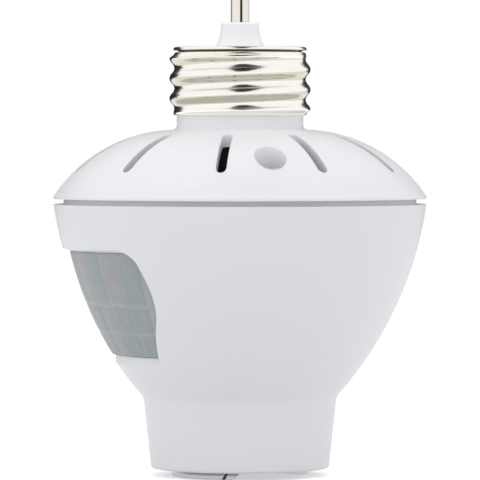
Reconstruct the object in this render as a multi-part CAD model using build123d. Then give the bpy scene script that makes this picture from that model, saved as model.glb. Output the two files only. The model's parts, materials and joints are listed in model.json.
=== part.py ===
from build123d import *
import os
from math import cos, hypot, radians, sin, sqrt

# Motion-sensing adapter that screws into an E26 lamp holder and carries a lamp below it.
# Millimetres. +Z is up, towards the lamp holder. z = 0 is the lower edge of the screw shell
# that takes the lamp, on the object's axis. The sensor's window faces -X.

# Heights, from the bottom up
SOCKET_LIP = 1.4            # the lamp's screw shell stands this far out of the neck
NECK_H = 13.2
BELL_H = 35.75
GROOVE_H = 1.0              # shadow gap between the two housings
DOME_H = 12.8
COLLAR_H = 2.75
BASE_H = 12.8               # screw base, from the collar to its flat top
BOSS_H = 4.3                # white insulator above the screw base
PIN_OUT = 4.6               # contact pin above the insulator

# Outside radii
BODY_R = 34.6
NECK_RIM_R = 16.55
CREASE_R = 18.0
COLLAR_R = 11.75
BELL_ARC_R = 68.3
DOME_LIP_H = 0.45
CREASE_FILLET = 2.5
RIM_FILLET = 0.6
COLLAR_FILLET = 0.9

# Housing walls and the joint between the two housings
WALL = 2.2
TONGUE_STEP = 1.85          # the tongue stands back this far from the outside
TONGUE_T = 1.5
TONGUE_IN_COVER = 1.6
TONGUE_ROOT = 1.5           # the tongue's inner face runs this far below the groove
TONGUE_BLEND = 1.5
JOINT_GAP = 0.15
NECK_BORE_R = 15.05
FLOOR_T = 1.8               # floor inside the bell, above the neck

# E26 screw base, 7 threads to the inch
BASE_MAJOR_R = 13.1
THREAD_DEPTH = 0.9
THREAD_PITCH = 25.4 / 7
THREAD_CREST_Z = 4.94       # crest at +X above the shell's lower edge, one pitch or more down
SHEET = 0.4
NECK_STEP = 0.6             # the neck under the rim is this much less than the root
RIM_LAP = 0.8               # the rim overhangs the neck by this
BASE_HOLE_R = 4.6
BASE_TAPER_H = 0.45
RIDGE_SHARE = 0.96          # width of the thread's ridge as a share of the pitch
RIDGE_SINK = 0.06           # the ridge's feet lie this deep in the shell's wall
SPIGOT_WALL = 2.0
SPIGOT_H = 9.0
FIT_GAP = 0.1

# Insulator, contact sleeve and pin
BOSS_FOOT_R = 4.45
BOSS_R = 3.6
BOSS_TIP_R = 3.45
BOSS_FLARE_H = 2.6
BOSS_EDGE = 0.35
HUB_R = 4.2
HUB_Z = 4.0                 # lower end of the hub above the shell's lower edge
PIN_R = 1.7
PIN_L = 16.0
PIN_SLIT_W = 0.45
PIN_SLIT_L = 12.0
PIN_SLIT_ANGLE = 8.0        # the slit's turn from the Y axis
PIN_CHAMFER = 0.35
PIN_RUN_GAP = 0.05
SLEEVE_T = 0.5
SLEEVE_FLANGE_R = 3.3
SLEEVE_FLANGE_T = 0.6
BOSS_WEB = 0.9              # thickness of the insulator's top round the pin

# Ventilation slots and the screw recesses between two of them
SLOT_COUNT = 10
SLOT_ANGLE = 263.5
SLOT_W = 1.95
SLOT_IN_R = 18.6
SLOT_EDGE = 3.8             # from a slot's outer end to the outside
SCREW_EDGE = 7.3            # from a cover screw to the outside
SCREW_ANGLE = SLOT_ANGLE + 180 / SLOT_COUNT
RECESS_R = 2.925
RECESS_WALL = 1.1
RECESS_FLOOR_Z = 4.05       # above the cover's lower edge
SCREW_SEAT_T = 2.0
SCREW_SHANK_R = 1.4
SCREW_LEN = 12.0
SCREW_HEAD_R = 2.6
SCREW_HEAD_T = 1.8
SCREW_CLEAR = 0.2
PILOT_CLEAR = 0.05
BOSS_POST_R = 3.2
BOSS_SEAT_R = 4.2

# Sensor window in the bell, and the lens in it
WINDOW_BOTTOM = 21.15       # above the neck's rim
WINDOW_TOP_DROP = 8.55      # from the bell's top down to the window's
WINDOW_LEDGE_H = 1.45       # from the ledge up to the window
WINDOW_FLARE_H = 0.45       # rise of the top edge from the lens out to the bell
WINDOW_HALF_W = 26.35
WINDOW_SIDE_DROP = 2.9      # from the window's top down to where its sides turn upright
WINDOW_MID_W = 23.3
WINDOW_MID_UP = 6.35        # from the window's bottom up to where its sides start to curve
WINDOW_LOW_W = 18.05
WINDOW_TOP_ROUND = 2.4
WINDOW_LOW_ROUND = 1.5
LENS_BACK_LOW = 0.45        # the lens stands back this far at the window's foot
LENS_BACK_TOP = 1.22
LENS_T = 0.7
LENS_EDGE = 0.8
LENS_FLANGE_W = 2.0
LENS_FLANGE_T = 0.75
LENS_FLANGE_X = -11.0       # how far round the bell the flange reaches
LENS_GAP = 0.1
SHROUD_T = 1.2
SHROUD_FRAME_W = 1.2
SHROUD_HALF_W = 12.0        # of the two shelves
SHROUD_OPEN_HALF_W = 15.5

# Circuit boards
BOARD_T = 1.6
BOARD_EDGE = 5.3            # from the board's edge to the outside
BOARD_DROP = 5.55           # from the bell's top down to the board
BOARD_NOTCH = 0.4
RIB_ANGLES = (29.5, 317.5)
RIB_W = 1.6
RIB_EDGE = 8.6              # from a rib's inner end to the outside
RIB_H = 9.0
POST_R = 1.6
POST_EDGE = 7.8
POST_GAP = 0.2
SENSOR_BOARD_X = -18.8      # face that carries the sensor
SENSOR_BOARD_W = 20.0
SENSOR_BOARD_UP = 1.65      # from the window's bottom up to the board

# What is on the sensor board
PIR_R = 4.1
PIR_FLANGE_R = 4.7
PIR_FLANGE_T = 0.4
PIR_H = 4.2
PIR_EDGE = 0.3
PIR_WINDOW = (0.4, 3.9, 2.9)
CELL_R = 2.4
CELL_H = 2.0
CELL_Y = -7.0
CELL_DROP = 4.0             # from the sensor's middle down to the photocell's
PIN_ROW = 5
LINK_PIN = 0.64
LINK_PITCH = 2.54
LINK_FOOT = 2.6
LINK_LEG = 4.0

# What is on the main board: size, then place, as (distance from the board's edge, angle) or Y
RELAY = (20.4, 10.2, 14.6)
RELAY_Y = -6.1
RELAY_EDGE = 0.4
FILM_CAP = (18.0, 7.0, 11.0)
FILM_CAP_EDGE = 11.3        # from the board's edge to the capacitor's middle
CHIP = (9.8, 6.4, 3.3)
CHIP_AT = (14.0, 31.6)
VARISTOR_R = 5.0
VARISTOR_T = 3.6
VARISTOR_AT = (9.2, 153.4)
CAPACITORS = {"smoothing_capacitor": (5.0, 11.5, 9.3, -22.1), "timing_capacitor": (3.2, 7.0, 8.9, 17.1)}
CAP_SCORE = 0.35
FUSE_R = 1.6
FUSE_L = 7.5
FUSE_AT = (10.4, 186.0)
DIODE_R = 1.35
DIODE_L = 4.6
DIODE_PITCH = 3.4
DIODE_AT = (5.5, 231.0)      # of the first one
DROPPER_R = 2.1
DROPPER_L = 9.5
DROPPER_GAP = 1.25          # from the film capacitor's end
DROPPER_BACK = 3.0          # from the film capacitor's middle towards the axis

# Lamp socket
SHELL_IN_R = 12.35
SHELL_T = 0.35
SHELL_H = 21.4
SHELL_RIM_IN_R = 8.6
SHELL_BEND = 0.5            # inner radius of the bend at its top
SHELL_SEAM = 40.0           # width of the open seam, degrees
SHELL_SEAM_ANGLE = 289.5
CUP_CAVITY_R = 13.9
CUP_R = 14.9
CUP_TOP_T = 2.5
CONTACT_DEPTH = 4.0         # well above the shell that holds the centre contact
WELL_R = 8.4
EAR_R_POS = 18.4
EAR_R = 2.7
EAR_ANGLES = (90.0, 270.0)
CUP_SCREW_R = 1.1
CUP_SCREW_HEAD_R = 2.1
CUP_SCREW_HEAD_T = 1.4
CUP_SCREW_LEN = 7.0
LEAF_T = 0.5
LEAF_W = 6.0
LEAF_L = 9.0
LEAF_DROP = 1.9
RIVET_R = 1.2
RIVET_HEAD_R = 2.2
RIVET_HEAD_T = 0.8
RIVET_FOOT_R = 1.6
RIVET_FOOT_T = 0.4
SHELL_RIVET_R_POS = 10.2
SHELL_RIVET_ANGLE = 0.0

# Leads
LEAD_R = 0.7
NEUTRAL_LEAD_R = 0.8
NEUTRAL_LEAD_UP = 5.0       # above the screw base's lower edge
LINE_LEAD_AT = 2.5
NEUTRAL_LEAD_AT = 7.6       # from the axis to where it drops to the board
NEUTRAL_BEND = 2.5
LEAD_BEND = 5.0
LEAD_STUB = 4.0             # straight length over a rivet
LEAD_TAIL = 5.0             # straight length under the main board
LEAD_STEP = (3.0, 4.0)      # sideways from the rivet to the board's hole

# Worked-out radii
BASE_ROOT_R = BASE_MAJOR_R - THREAD_DEPTH
BASE_NECK_R = BASE_ROOT_R - NECK_STEP
BASE_RIM_R = BASE_NECK_R + RIM_LAP
TONGUE_R = BODY_R - TONGUE_STEP
SLOT_OUT_R = BODY_R - SLOT_EDGE
SCREW_R_POS = BODY_R - SCREW_EDGE
BOARD_R = BODY_R - BOARD_EDGE
RIB_IN_R = BODY_R - RIB_EDGE
POST_R_POS = BODY_R - POST_EDGE

# Worked-out places on the main board
FILM_CAP_Y = BOARD_R - FILM_CAP_EDGE
DROPPER_X = FILM_CAP[0] / 2 + DROPPER_GAP + DROPPER_L / 2
DROPPER_Y = FILM_CAP_Y - DROPPER_BACK

# Worked-out heights
RIM_Z = SOCKET_LIP
CREASE_Z = RIM_Z + NECK_H
BELL_TOP_Z = CREASE_Z + BELL_H
COVER_Z = BELL_TOP_Z + GROOVE_H
DOME_TOP_Z = COVER_Z + DOME_H
BASE_Z = DOME_TOP_Z + COLLAR_H
BASE_TOP_Z = BASE_Z + BASE_H
BOSS_TOP_Z = BASE_TOP_Z + BOSS_H
PIN_TIP_Z = BOSS_TOP_Z + PIN_OUT
TONGUE_TOP_Z = COVER_Z + TONGUE_IN_COVER
BOARD_UNDER_Z = BELL_TOP_Z - BOARD_DROP
BOARD_TOP_Z = BOARD_UNDER_Z + BOARD_T
SCREW_SEAT_Z = COVER_Z + RECESS_FLOOR_Z
SCREW_POST_TOP_Z = SCREW_SEAT_Z - SCREW_SEAT_T
WINDOW_LOW_Z = RIM_Z + WINDOW_BOTTOM
WINDOW_TOP_Z = BELL_TOP_Z - WINDOW_TOP_DROP
LEDGE_Z = WINDOW_LOW_Z - WINDOW_LEDGE_H
PIR_Z = (WINDOW_LOW_Z + WINDOW_TOP_Z) / 2
CUP_STEP_Z = SHELL_H
WELL_TOP_Z = CUP_STEP_Z + CONTACT_DEPTH
CUP_TOP_Z = WELL_TOP_Z + CUP_TOP_T
FLOOR_Z = CREASE_Z + FLOOR_T
HUB_UNDER_Z = BASE_Z + HUB_Z
NEUTRAL_LEAD_Z = BASE_Z + NEUTRAL_LEAD_UP

COVER_SCREW_ANGLES = (SCREW_ANGLE, SCREW_ANGLE + 180)


def arc_center(top, low, radius):
    """Centre of the arc that bulges outwards between two points of an outline."""
    mid = ((top[0] + low[0]) / 2, (top[1] + low[1]) / 2)
    run = (top[0] - low[0], top[1] - low[1])
    half = hypot(*run) / 2
    back = sqrt(radius**2 - half**2) / (2 * half)
    return mid[0] - run[1] * back, mid[1] + run[0] * back


BELL_C = arc_center((BODY_R, BELL_TOP_Z), (CREASE_R, CREASE_Z), BELL_ARC_R)
DOME_DROP = DOME_H - DOME_LIP_H
DOME_ARC_R = ((BODY_R - COLLAR_R) ** 2 + DOME_DROP**2) / (2 * DOME_DROP)
DOME_C = (COLLAR_R, DOME_TOP_Z - DOME_ARC_R)


def bell_r(z, inset=0.0):
    """Radius of the bell at a height, on a surface set in by the inset."""
    return BELL_C[0] + sqrt((BELL_ARC_R - inset) ** 2 - (z - BELL_C[1]) ** 2)


def lens_r(z, inset=0.0):
    """Radius of the lens's face, which stands back less at its foot, or of a surface behind it."""
    up = (z - WINDOW_LOW_Z) / (WINDOW_TOP_Z - WINDOW_LOW_Z)
    back = LENS_BACK_LOW + (LENS_BACK_TOP - LENS_BACK_LOW) * up
    return bell_r(z) - back - inset


def dome_r(z, inset=0.0):
    """Radius of the dome at a height, on a surface set in by the inset."""
    square = (DOME_ARC_R - inset) ** 2 - (z - DOME_C[1]) ** 2
    return DOME_C[0] + sqrt(round(max(square, 0), 6))


def curve(radius_at, z_from, z_to, inset=0.0):
    """Stretch of the bell's or dome's outline as one arc."""
    heights = (z_from, (z_from + z_to) / 2, z_to)
    return ThreePointArc(*[(radius_at(z, inset), z) for z in heights])


def turned(outline, degrees=360.0, start=0.0):
    """Solid of revolution about Z from a closed outline in radius and height."""
    face = make_face(Plane.XZ * outline)
    return Rot(Z=start) * revolve(face, Axis.Z, degrees)


def ring(r_in, r_out, z_low, z_high):
    """Plain tube, or a disc where the inner radius is nought."""
    tube = rod(r_out, z_low, z_high)
    return tube - rod(r_in, z_low - 1, z_high + 1) if r_in > 0 else tube


def rod(radius, z_low, z_high, at=(0.0, 0.0)):
    """Upright cylinder between two heights."""
    solid = Cylinder(radius, z_high - z_low, align=(Align.CENTER, Align.CENTER, Align.MIN))
    return Pos(at[0], at[1], z_low) * solid


def block(x, y, z):
    """Box between two values on each axis."""
    size = (x[1] - x[0], y[1] - y[0], z[1] - z[0])
    return Pos(x[0], y[0], z[0]) * Box(*size, align=(Align.MIN, Align.MIN, Align.MIN))


def around(radius, angle):
    """Point on a circle about the axis."""
    return radius * cos(radians(angle)), radius * sin(radians(angle))


def wire_run(points, radius, bends):
    """Insulated lead along straight runs joined by arcs."""
    path = FilletPolyline(*points, radius=bends)
    start = Plane(origin=points[0], z_dir=Vector(*points[1]) - Vector(*points[0]))
    return sweep(start * Circle(radius), path=path)


# Lower housing

def bell_outline():
    """Closed section of the lower housing, from the neck's rim to the tongue."""
    tongue_in = TONGUE_R - TONGUE_T
    blend_z = BELL_TOP_Z - TONGUE_ROOT - TONGUE_BLEND
    outline = Curve() + [
        Line((NECK_BORE_R, RIM_Z), (NECK_RIM_R, RIM_Z)),
        Line((NECK_RIM_R, RIM_Z), (CREASE_R, CREASE_Z)),
        curve(bell_r, CREASE_Z, BELL_TOP_Z),
        Polyline(
            (BODY_R, BELL_TOP_Z),
            (TONGUE_R, BELL_TOP_Z),
            (TONGUE_R, TONGUE_TOP_Z),
            (tongue_in, TONGUE_TOP_Z),
            (tongue_in, BELL_TOP_Z - TONGUE_ROOT),
            (bell_r(blend_z, WALL), blend_z),
        ),
        curve(bell_r, blend_z, FLOOR_Z, WALL),
        Polyline((bell_r(FLOOR_Z, WALL), FLOOR_Z), (NECK_BORE_R, FLOOR_Z), (NECK_BORE_R, RIM_Z)),
    ]
    return outline


def bell_body(inset=0.0):
    """The bell as if it were solid, which trims what grows from its wall."""
    outline = Curve() + [
        Polyline((0, BELL_TOP_Z), (0, CREASE_Z), (bell_r(CREASE_Z, inset), CREASE_Z)),
        curve(bell_r, CREASE_Z, BELL_TOP_Z, inset),
        Line((bell_r(BELL_TOP_Z, inset), BELL_TOP_Z), (0, BELL_TOP_Z)),
    ]
    return turned(outline)


def window_outline(grow=0.0):
    """Outline of the sensor's window as seen along X."""
    side = (WINDOW_HALF_W, WINDOW_TOP_Z - WINDOW_SIDE_DROP)
    middle = (WINDOW_MID_W, WINDOW_LOW_Z + WINDOW_MID_UP)
    top = WINDOW_TOP_Z + WINDOW_FLARE_H
    corner = (WINDOW_LOW_W, LEDGE_Z)
    half = Curve() + [
        Line((0, LEDGE_Z), corner),
        Line(corner, middle),
        TangentArc(side, middle, tangent=(0, -1)),
        Line(side, (WINDOW_HALF_W, top)),
        Line((WINDOW_HALF_W, top), (0, top)),
        Line((0, top), (0, LEDGE_Z)),
    ]
    right = make_face(half)
    whole = right + mirror(right, Plane.YZ)
    lows = whole.vertices().group_by(Axis.Y)[0].sort_by(Axis.X)
    whole = fillet([lows[0], lows[-1]], WINDOW_LOW_ROUND)
    tops = whole.vertices().group_by(Axis.Y)[-1].sort_by(Axis.X)
    whole = fillet([tops[0], tops[-1]], WINDOW_TOP_ROUND)
    return offset(whole, grow) if grow else whole


def window_prism(grow=0.0):
    """Bar along -X with the window's outline, larger or smaller all round by grow."""
    face = Plane(origin=(0, 0, 0), x_dir=(0, -1, 0), z_dir=(-1, 0, 0)) * window_outline(grow)
    return extrude(face, BODY_R + 1)


def window_cut():
    """Opening for the lens, with its flared top and the upright ledge below it."""
    ledge_r = bell_r(LEDGE_Z)
    face_r = lens_r(WINDOW_TOP_Z)
    far = BODY_R + 1
    inside = CUP_R + 1
    flare = WINDOW_FLARE_H * (far - face_r) / LENS_BACK_TOP
    outline = Polyline(
        (inside, WINDOW_LOW_Z),
        (ledge_r, WINDOW_LOW_Z),
        (ledge_r, LEDGE_Z),
        (far, LEDGE_Z),
        (far, WINDOW_TOP_Z + flare),
        (face_r, WINDOW_TOP_Z),
        (inside, WINDOW_TOP_Z),
        close=True,
    )
    return turned(outline, 180, 90) & window_prism()


def screw_post(angle):
    """Post for a cover screw, stepped to seat the circuit board."""
    at = around(SCREW_R_POS, angle)
    foot = rod(BOSS_SEAT_R, CREASE_Z, BOARD_UNDER_Z, at) & bell_body(WALL / 2)
    post = rod(BOSS_POST_R, BOARD_UNDER_Z, SCREW_POST_TOP_Z, at)
    return foot + post


def pilot_hole(angle):
    """Hole that a cover screw cuts its thread in."""
    at = around(SCREW_R_POS, angle)
    low = SCREW_SEAT_Z - SCREW_LEN - 1
    return rod(SCREW_SHANK_R + PILOT_CLEAR, low, SCREW_POST_TOP_Z + 1, at)


def board_rib(angle):
    """Rib on the wall that carries the circuit board's edge."""
    rib = block((RIB_IN_R, BODY_R), (-RIB_W / 2, RIB_W / 2), (BOARD_UNDER_Z - RIB_H, BOARD_UNDER_Z))
    return (Rot(Z=angle) * rib) & bell_body(WALL / 2)


def cup_post(angle):
    """Post in the bell that a screw of the lamp socket goes into."""
    at = around(EAR_R_POS, angle)
    post = rod(EAR_R, CREASE_Z, WELL_TOP_Z, at) & bell_body(WALL / 2)
    return post - rod(CUP_R + JOINT_GAP, CREASE_Z - 1, WELL_TOP_Z + 1)


def cup_pilot(angle):
    """Hole that a screw of the lamp socket cuts its thread in."""
    at = around(EAR_R_POS, angle)
    return rod(CUP_SCREW_R + PILOT_CLEAR, WELL_TOP_Z - CUP_SCREW_LEN, WELL_TOP_Z + 1, at)


def lower_housing():
    section = make_face(Plane.XZ * bell_outline())
    rim = section.vertices().sort_by_distance((NECK_RIM_R, 0, RIM_Z))[0]
    section = fillet(rim, RIM_FILLET)
    crease = section.vertices().sort_by_distance((CREASE_R, 0, CREASE_Z))[0]
    section = fillet(crease, CREASE_FILLET)
    body = revolve(section, Axis.Z)
    body -= window_cut()
    for angle in COVER_SCREW_ANGLES:
        body += screw_post(angle)
        body -= pilot_hole(angle)
    for angle in RIB_ANGLES:
        body += board_rib(angle)
    for angle in EAR_ANGLES:
        body += cup_post(angle)
        body -= cup_pilot(angle)
    return body


# Top cover

def cover_outline():
    """Closed section of the top cover with its collar and the spigot inside the screw base."""
    lip_z = COVER_Z + DOME_LIP_H
    skirt_r = TONGUE_R + JOINT_GAP
    shelf_z = TONGUE_TOP_Z + JOINT_GAP
    spigot_r = BASE_ROOT_R - SHEET - FIT_GAP
    bore_r = spigot_r - SPIGOT_WALL
    under_z = DOME_TOP_Z - WALL
    return Curve() + [
        Line((skirt_r, COVER_Z), (BODY_R, COVER_Z)),
        Line((BODY_R, COVER_Z), (BODY_R, lip_z)),
        curve(dome_r, lip_z, DOME_TOP_Z),
        Polyline(
            (COLLAR_R, DOME_TOP_Z),
            (COLLAR_R, BASE_Z),
            (spigot_r, BASE_Z),
            (spigot_r, BASE_Z + SPIGOT_H),
            (bore_r, BASE_Z + SPIGOT_H),
            (bore_r, under_z),
            (DOME_C[0], under_z),
        ),
        curve(dome_r, under_z, shelf_z, WALL),
        Polyline((dome_r(shelf_z, WALL), shelf_z), (skirt_r, shelf_z), (skirt_r, COVER_Z)),
    ]


def dome_body():
    """The dome as if it were solid, which trims the tubes and posts under it."""
    lip_z = COVER_Z + DOME_LIP_H
    outline = Curve() + [
        Polyline((0, DOME_TOP_Z), (0, COVER_Z), (BODY_R, COVER_Z), (BODY_R, lip_z)),
        curve(dome_r, lip_z, DOME_TOP_Z),
        Line((DOME_C[0], DOME_TOP_Z), (0, DOME_TOP_Z)),
    ]
    return turned(outline)


def vent_slot(angle):
    """Upright cutter for one ventilation slot."""
    slot = SlotOverall(SLOT_OUT_R - SLOT_IN_R, SLOT_W)
    place = Pos((SLOT_OUT_R + SLOT_IN_R) / 2, 0, TONGUE_TOP_Z)
    return Rot(Z=angle) * place * extrude(slot, DOME_TOP_Z)


def screw_tube(angle):
    """Tube under the dome that a cover screw's head sits in."""
    at = around(SCREW_R_POS, angle)
    return rod(RECESS_R + RECESS_WALL, SCREW_POST_TOP_Z, DOME_TOP_Z, at)


def screw_recess(angle):
    """Counterbore and through hole of a cover screw."""
    at = around(SCREW_R_POS, angle)
    bore = rod(RECESS_R, SCREW_SEAT_Z, DOME_TOP_Z, at)
    return bore + rod(SCREW_SHANK_R + SCREW_CLEAR, SCREW_POST_TOP_Z - 1, DOME_TOP_Z, at)


def lead_hole():
    """Hole through the spigot for the lead that is soldered to the screw base."""
    hole = Cylinder(NEUTRAL_LEAD_R + FIT_GAP, BASE_ROOT_R, align=(Align.CENTER, Align.CENTER, Align.MIN))
    return Pos(0, 0, NEUTRAL_LEAD_Z) * Rot(X=-90) * hole


def top_cover():
    section = make_face(Plane.XZ * cover_outline())
    corner = section.vertices().sort_by_distance((COLLAR_R, 0, DOME_TOP_Z))[0]
    body = revolve(fillet(corner, COLLAR_FILLET), Axis.Z)
    inner = Part()
    for angle in COVER_SCREW_ANGLES:
        inner += screw_tube(angle)
    for angle in RIB_ANGLES:
        inner += rod(POST_R, BOARD_TOP_Z + POST_GAP, DOME_TOP_Z, around(POST_R_POS, angle))
    above = block((-BODY_R, BODY_R), (-BODY_R, BODY_R), (COVER_Z, DOME_TOP_Z))
    body += (inner & dome_body()) + (inner - above)
    for angle in COVER_SCREW_ANGLES:
        body -= screw_recess(angle)
    for number in range(SLOT_COUNT):
        body -= vent_slot(SLOT_ANGLE + number * 360 / SLOT_COUNT)
    return body - lead_hole()


# Lens and its light shroud

def window_layer(outer, inner, radius_at=bell_r):
    """Layer on the window's side from an inset of one surface in to an inset of the bell's."""
    low = CREASE_Z
    high = BELL_TOP_Z
    outline = Curve() + [
        curve(radius_at, low, high, outer),
        Line((radius_at(high, outer), high), (bell_r(high, inner), high)),
        curve(bell_r, high, low, inner),
        Line((bell_r(low, inner), low), (radius_at(low, outer), low)),
    ]
    return turned(outline, 180, 90)


def between(z_low, z_high):
    """Slab that keeps what lies round the window between two heights."""
    return block((-BODY_R, LENS_FLANGE_X), (-BODY_R, BODY_R), (z_low, z_high))


def lens():
    low = WINDOW_LOW_Z + LENS_GAP
    high = WINDOW_TOP_Z - LENS_GAP
    back = WALL + LENS_GAP + LENS_FLANGE_T
    pad = window_layer(0, back, lens_r) & window_prism(-LENS_GAP) & between(low, high)
    hollow = window_layer(LENS_T, back + 1, lens_r) & window_prism(-LENS_GAP - LENS_EDGE)
    hollow &= between(low + LENS_EDGE, high - LENS_EDGE)
    flange = window_layer(WALL + LENS_GAP, back) & window_prism(LENS_FLANGE_W)
    flange &= between(low - LENS_FLANGE_W, high + LENS_FLANGE_W)
    return pad + flange - hollow


def sensor_shroud():
    """Frame behind the lens with two shelves that shade the sensor."""
    low = WINDOW_LOW_Z
    high = WINDOW_TOP_Z
    outer = WALL + 2 * LENS_GAP + LENS_FLANGE_T
    frame = window_layer(outer, outer + SHROUD_T) & window_prism(LENS_FLANGE_W)
    frame &= between(low - LENS_FLANGE_W, high + LENS_FLANGE_W)
    hole = block(
        (-BODY_R, 0),
        (-SHROUD_OPEN_HALF_W, SHROUD_OPEN_HALF_W),
        (low + SHROUD_FRAME_W, high - SHROUD_FRAME_W),
    )
    frame -= hole
    for z in (low, high - SHROUD_FRAME_W):
        shelf = block(
            (-BODY_R, SENSOR_BOARD_X - LENS_GAP),
            (-SHROUD_HALF_W, SHROUD_HALF_W),
            (z, z + SHROUD_T),
        )
        frame += shelf & bell_body(outer)
    return frame


# Sensor board and what is on it

def sensor_board():
    half = SENSOR_BOARD_W / 2
    z = (WINDOW_LOW_Z + SENSOR_BOARD_UP, BOARD_UNDER_Z)
    return block((SENSOR_BOARD_X, SENSOR_BOARD_X + BOARD_T), (-half, half), z)


def facing_window(radius, length, at, start=0.0):
    """Cylinder on the sensor board that points to the window."""
    y, z = at
    solid = Cylinder(radius, length, align=(Align.CENTER, Align.CENTER, Align.MIN))
    return Pos(SENSOR_BOARD_X - start, y, z) * Rot(Y=-90) * solid


def pir_can():
    at = (0, PIR_Z)
    can = facing_window(PIR_R, PIR_H, at)
    can = fillet(can.edges().sort_by(Axis.X)[0], PIR_EDGE)
    body = can + facing_window(PIR_FLANGE_R, PIR_FLANGE_T, at)
    return body - pir_window()


def pir_window():
    depth, wide, high = PIR_WINDOW
    front = SENSOR_BOARD_X - PIR_H
    rise = (PIR_Z - high / 2, PIR_Z + high / 2)
    return block((front, front + depth), (-wide / 2, wide / 2), rise)


def photocell():
    return facing_window(CELL_R, CELL_H, (CELL_Y, PIR_Z - CELL_DROP))


# Main board and what is on it

def main_board():
    board = rod(BOARD_R, BOARD_UNDER_Z, BOARD_TOP_Z)
    for angle in COVER_SCREW_ANGLES:
        half = BOSS_POST_R + BOARD_NOTCH
        notch = block((SCREW_R_POS, BODY_R), (-half, half), (BOARD_UNDER_Z - 1, BOARD_TOP_Z + 1))
        hole = rod(half, BOARD_UNDER_Z - 1, BOARD_TOP_Z + 1, around(SCREW_R_POS, angle))
        board -= (Rot(Z=angle) * notch) + hole
    return board


def from_edge(inset, angle):
    """Place on the main board by its distance from the board's edge."""
    return around(BOARD_R - inset, angle)


def on_board(size, at, edge=0.0):
    """Boxed component that stands on the main board."""
    x, y = at
    solid = block(
        (x - size[0] / 2, x + size[0] / 2),
        (y - size[1] / 2, y + size[1] / 2),
        (BOARD_TOP_Z, BOARD_TOP_Z + size[2]),
    )
    return fillet(solid.edges().filter_by(Axis.Z), edge) if edge else solid


def under_board(size, at):
    """Boxed component that hangs under the main board."""
    return Pos(0, 0, -BOARD_T - size[2]) * on_board(size, at)


def electrolytic(radius, height, inset, angle):
    """Can with the crimped groove near its foot."""
    x, y = from_edge(inset, angle)
    can = rod(radius, BOARD_TOP_Z, BOARD_TOP_Z + height, (x, y))
    low = BOARD_TOP_Z + height / 8
    score = ring(radius - CAP_SCORE, radius + 1, low, low + 2 * CAP_SCORE)
    return can - Pos(x, y, 0) * score


def varistor():
    x, y = from_edge(*VARISTOR_AT)
    disc = Rot(X=90) * Cylinder(VARISTOR_R, VARISTOR_T)
    return Pos(x, y, BOARD_TOP_Z + VARISTOR_R) * disc


def lying(radius, length, at):
    """Axial component that lies on the main board along X."""
    return Pos(at[0], at[1], BOARD_TOP_Z + radius) * Rot(Y=90) * Cylinder(radius, length)


def rectifier_diodes():
    x, y = from_edge(*DIODE_AT)
    return Compound([lying(DIODE_R, DIODE_L, (x, y + n * DIODE_PITCH)) for n in range(4)])


def board_link():
    """Row of angled pins that carries the sensor board's signals to the main board."""
    pins = []
    back = SENSOR_BOARD_X + BOARD_T
    for number in range(PIN_ROW):
        y = (number - (PIN_ROW - 1) / 2) * LINK_PITCH
        side = (y - LINK_PIN / 2, y + LINK_PIN / 2)
        leg = block((back, back + LINK_PIN), side, (BOARD_UNDER_Z - LINK_LEG, BOARD_UNDER_Z))
        foot = block((back, back + LINK_FOOT), side, (BOARD_UNDER_Z - LINK_PIN, BOARD_UNDER_Z))
        pins.append(leg + foot)
    return Compound(pins)


# Screw base, insulator and contact

def thread_ridge(turns):
    """Rounded Edison thread: one ridge with two equal arcs a flank, swept up a helix."""
    half = THREAD_PITCH * RIDGE_SHARE / 2
    foot = BASE_ROOT_R - RIDGE_SINK
    middle = (foot + BASE_MAJOR_R) / 2
    buried = foot - SHEET / 2
    section = Curve() + [
        TangentArc((foot, -half), (middle, -half / 2), tangent=(0, 1)),
        ThreePointArc((middle, -half / 2), (BASE_MAJOR_R, 0), (middle, half / 2)),
        TangentArc((foot, half), (middle, half / 2), tangent=(0, -1)),
        Polyline((foot, half), (buried, half), (buried, -half), (foot, -half)),
    ]
    path = Helix(THREAD_PITCH, THREAD_PITCH * turns, BASE_ROOT_R)
    return sweep(make_face(Plane.XZ * section), path=path, is_frenet=True)


def base_section():
    """Section of the drawn shell: the thread fades at its foot and under a neck and rolled rim."""
    inner = BASE_ROOT_R - SHEET
    throat = BASE_NECK_R - SHEET
    top = BASE_TOP_Z
    far = BASE_MAJOR_R - BASE_ROOT_R + SHEET
    shoulder = top - 3 * SHEET - BASE_TAPER_H
    return turned(Polyline(
        (inner, BASE_Z),
        (BASE_RIM_R, BASE_Z),
        (BASE_ROOT_R + far, BASE_Z + BASE_ROOT_R + far - BASE_RIM_R),
        (BASE_ROOT_R + far, shoulder - far),
        (BASE_ROOT_R, shoulder),
        (BASE_NECK_R, shoulder + BASE_TAPER_H),
        (BASE_NECK_R, top - 2 * SHEET),
        (BASE_RIM_R, top - 1.3 * SHEET),
        (BASE_RIM_R, top - 0.8 * SHEET),
        (BASE_NECK_R + SHEET, top),
        (BASE_HOLE_R, top),
        (BASE_HOLE_R, top - SHEET),
        (throat, top - SHEET),
        (throat, shoulder),
        (inner, shoulder - BASE_TAPER_H),
        close=True,
    ))


def base_screw_shell():
    low = BASE_Z + THREAD_CREST_Z - 2 * THREAD_PITCH
    turns = 2 + BASE_H / THREAD_PITCH
    blank = ring(BASE_NECK_R - 2 * SHEET, BASE_ROOT_R, low - 1, BASE_TOP_Z + 2 * THREAD_PITCH)
    blank += Pos(0, 0, low) * thread_ridge(turns)
    blank += rod(BASE_MAJOR_R + 1, BASE_TOP_Z - 4 * SHEET, BASE_TOP_Z + 1)
    return blank & base_section()


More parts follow.
